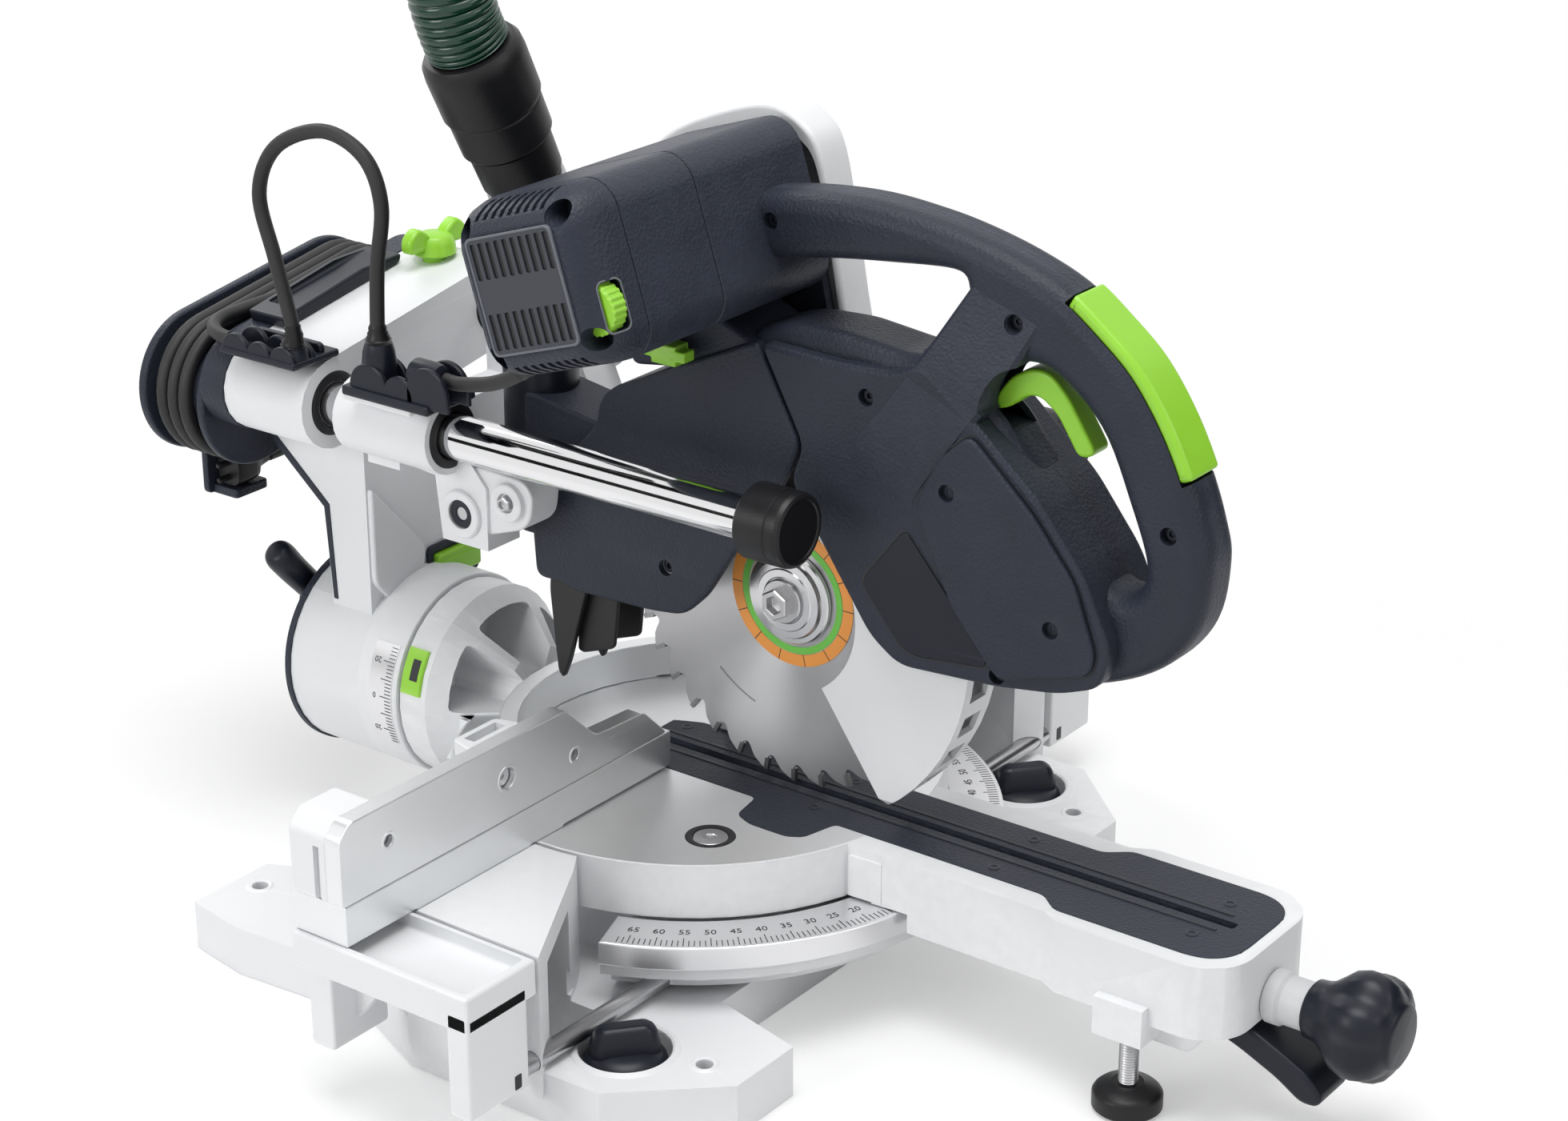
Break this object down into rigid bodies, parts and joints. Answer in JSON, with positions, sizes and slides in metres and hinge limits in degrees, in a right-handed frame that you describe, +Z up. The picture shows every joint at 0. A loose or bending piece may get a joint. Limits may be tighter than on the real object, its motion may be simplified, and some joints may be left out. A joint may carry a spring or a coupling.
{
  "type": "sliding miter saw",
  "caption": "Sliding miter saw with turntable, tilting rail arm, motor head with guarded blade, split sliding fence, table extensions and dust hose.",
  "frame": {"origin": "centre of the saw's box without its cords, on the bench", "axes": "+X to the operator's right, +Y from the operator to the rear, +Z up"},
  "size_m": [0.562, 0.766, 0.5909],
  "materials": {
    "white_paint": "light grey powder coat, satin",
    "aluminium": "cast and machined, satin",
    "steel": "brushed and turned",
    "chrome": "hard chrome, polished",
    "dark_plastic": "fine grain, blue black",
    "black_plastic": "fine grain, black",
    "lime_plastic": "lime green, satin gloss",
    "bronze": "sintered bushes",
    "black_rubber": "black, matt",
    "green_hose": "ribbed, dark green"
  },
  "bodies": {
    "base": {"base_casting": "white_paint", "miter_scale": "aluminium", "fixed_fence": "aluminium"},
    "fence_left": {"sliding_fence_left": "aluminium"},
    "fence_right": {"sliding_fence_right": "aluminium"},
    "extension_left": {"table_extension_left": "white_paint"},
    "extension_right": {"table_extension_right": "white_paint"},
    "clamp_left": {"clamp_knob_left": "dark_plastic"},
    "clamp_right": {"clamp_knob_right": "dark_plastic"},
    "turntable": {"turntable": "white_paint", "kerf_insert": "dark_plastic", "pivot_bolt": "steel"},
    "miter_knob": {"miter_knob": "dark_plastic"},
    "detent_lever": {"detent_lever": "dark_plastic"},
    "front_foot": {"front_foot": "black_plastic"},
    "tilt_arm": {"tilt_arm": "white_paint", "rail_left": "chrome", "rail_right": "chrome", "rail_cap_left": "black_plastic", "rail_cap_right": "black_plastic", "rear_cover": "dark_plastic", "rear_cable_clip": "dark_plastic", "top_tray": "dark_plastic", "lead_winding": "black_rubber", "mains_plug": "black_plastic"},
    "bevel_lever": {"bevel_lever": "dark_plastic"},
    "bevel_button": {"bevel_button": "lime_plastic"},
    "slide_lock": {"slide_lock_knob": "lime_plastic"},
    "carriage": {"carriage": "white_paint", "slide_bush_left": "bronze", "slide_bush_right": "bronze", "pivot_shaft": "steel", "carriage_clip": "dark_plastic", "lead_loop": "black_rubber", "motor_lead": "black_rubber"},
    "head": {"guard_casing": "dark_plastic", "handle_shell_left": "dark_plastic", "handle_shell_right": "dark_plastic", "front_cover": "dark_plastic", "motor_housing": "dark_plastic", "motor_end_cap": "dark_plastic", "drive_belt": "black_rubber", "belt_housing": "white_paint", "spindle_bearing": "steel", "dust_duct": "black_plastic", "dust_flap": "black_rubber", "hose_cuff": "black_plastic", "suction_hose": "green_hose", "hose_coupling": "black_plastic"},
    "blade": {"saw_blade": "steel", "spindle": "steel", "outer_flange": "steel", "blade_bolt": "steel", "driven_pulley": "aluminium"},
    "rotor": {"motor_rotor": "steel"},
    "lower_guard": {"lower_guard": "white_paint"},
    "trigger": {"trigger": "lime_plastic"},
    "safety_pad": {"safety_pad": "lime_plastic"},
    "speed_dial": {"speed_dial": "lime_plastic"},
    "depth_stop": {"depth_stop": "lime_plastic"}
  },
  "joints": [
    {"name": "miter_turn", "type": "hinge", "parent": "base", "child": "turntable", "pos_m": [0, 0.047, 0.095], "axis": [0, 0, 1], "range_deg": [-60, 60]},
    {"name": "bevel_tilt", "type": "hinge", "parent": "turntable", "child": "tilt_arm", "pos_m": [0, 0.247, 0.095], "axis": [0, 1, 0], "range_deg": [-45, 45]},
    {"name": "head_slide", "type": "slide", "parent": "tilt_arm", "child": "carriage", "axis": [0, 1, 0], "range_m": [-0.154, 0.012], "deforming": ["lead_loop"]},
    {"name": "head_chop", "type": "hinge", "parent": "carriage", "child": "head", "pos_m": [0, 0.162, 0.227], "axis": [-1, 0, 0], "range_deg": [0, 30], "deforming": ["motor_lead"]},
    {"name": "guard_swing", "type": "hinge", "parent": "head", "child": "lower_guard", "pos_m": [0, -0.017, 0.204], "axis": [1, 0, 0], "range_deg": [0, 66]},
    {"name": "blade_spin", "type": "hinge", "parent": "head", "child": "blade", "pos_m": [0, -0.017, 0.204], "axis": [1, 0, 0], "continuous": true},
    {"name": "rotor_spin", "type": "hinge", "parent": "head", "child": "rotor", "pos_m": [0, 0.033, 0.4], "axis": [1, 0, 0], "continuous": true},
    {"name": "trigger_press", "type": "slide", "parent": "head", "child": "trigger", "axis": [0, 0.29, 0.957], "range_m": [0, 0.005], "stiffness_N_per_m": 400},
    {"name": "safety_pad_press", "type": "slide", "parent": "head", "child": "safety_pad", "axis": [0, 0.7071, -0.7071], "range_m": [0, 0.0015], "stiffness_N_per_m": 900},
    {"name": "speed_dial_turn", "type": "hinge", "parent": "head", "child": "speed_dial", "pos_m": [0, -0.003, 0.395], "axis": [1, 0, 0], "range_deg": [-120, 120]},
    {"name": "depth_stop_turn", "type": "hinge", "parent": "head", "child": "depth_stop", "pos_m": [-0.034, 0.036, 0.338], "axis": [1, 0, 0], "range_deg": [0, 20]},
    {"name": "fence_left_slide", "type": "slide", "parent": "base", "child": "fence_left", "axis": [1, 0, 0], "range_m": [-0.09, 0]},
    {"name": "fence_right_slide", "type": "slide", "parent": "base", "child": "fence_right", "axis": [1, 0, 0], "range_m": [0, 0.09]},
    {"name": "extension_left_slide", "type": "slide", "parent": "base", "child": "extension_left", "axis": [-1, 0, 0], "range_m": [0, 0.12]},
    {"name": "extension_right_slide", "type": "slide", "parent": "base", "child": "extension_right", "axis": [1, 0, 0], "range_m": [0, 0.12]},
    {"name": "clamp_left_turn", "type": "hinge", "parent": "base", "child": "clamp_left", "pos_m": [-0.184, -0.049, 0.028], "axis": [0, 0, 1], "range_deg": [-90, 90]},
    {"name": "clamp_right_turn", "type": "hinge", "parent": "base", "child": "clamp_right", "pos_m": [0.184, -0.049, 0.028], "axis": [0, 0, 1], "range_deg": [-90, 90]},
    {"name": "miter_knob_turn", "type": "hinge", "parent": "turntable", "child": "miter_knob", "pos_m": [0, -0.311, 0.065], "axis": [0, 1, 0], "range_deg": [-180, 180]},
    {"name": "detent_lever_press", "type": "hinge", "parent": "turntable", "child": "detent_lever", "pos_m": [0, -0.299, 0.048], "axis": [1, 0, 0], "range_deg": [0, 14], "stiffness_Nm_per_rad": 4},
    {"name": "front_foot_lift", "type": "slide", "parent": "turntable", "child": "front_foot", "axis": [0, 0, 1], "range_m": [0, 0.012]},
    {"name": "bevel_lever_turn", "type": "hinge", "parent": "tilt_arm", "child": "bevel_lever", "pos_m": [-0.016, 0.309, 0.123], "axis": [0, 1, 0], "range_deg": [-35, 35]},
    {"name": "bevel_button_press", "type": "slide", "parent": "tilt_arm", "child": "bevel_button", "axis": [0, 1, 0], "range_m": [0, 0.004], "stiffness_N_per_m": 500},
    {"name": "slide_lock_turn", "type": "hinge", "parent": "tilt_arm", "child": "slide_lock", "pos_m": [0.06, 0.287, 0.317], "axis": [0, 0, 1], "range_deg": [-90, 90]}
  ],
  "couplings": [
    {"joint": "guard_swing", "follows": "head_chop", "ratio": 2.2},
    {"joint": "rotor_spin", "follows": "blade_spin", "ratio": 1.625}
  ]
}
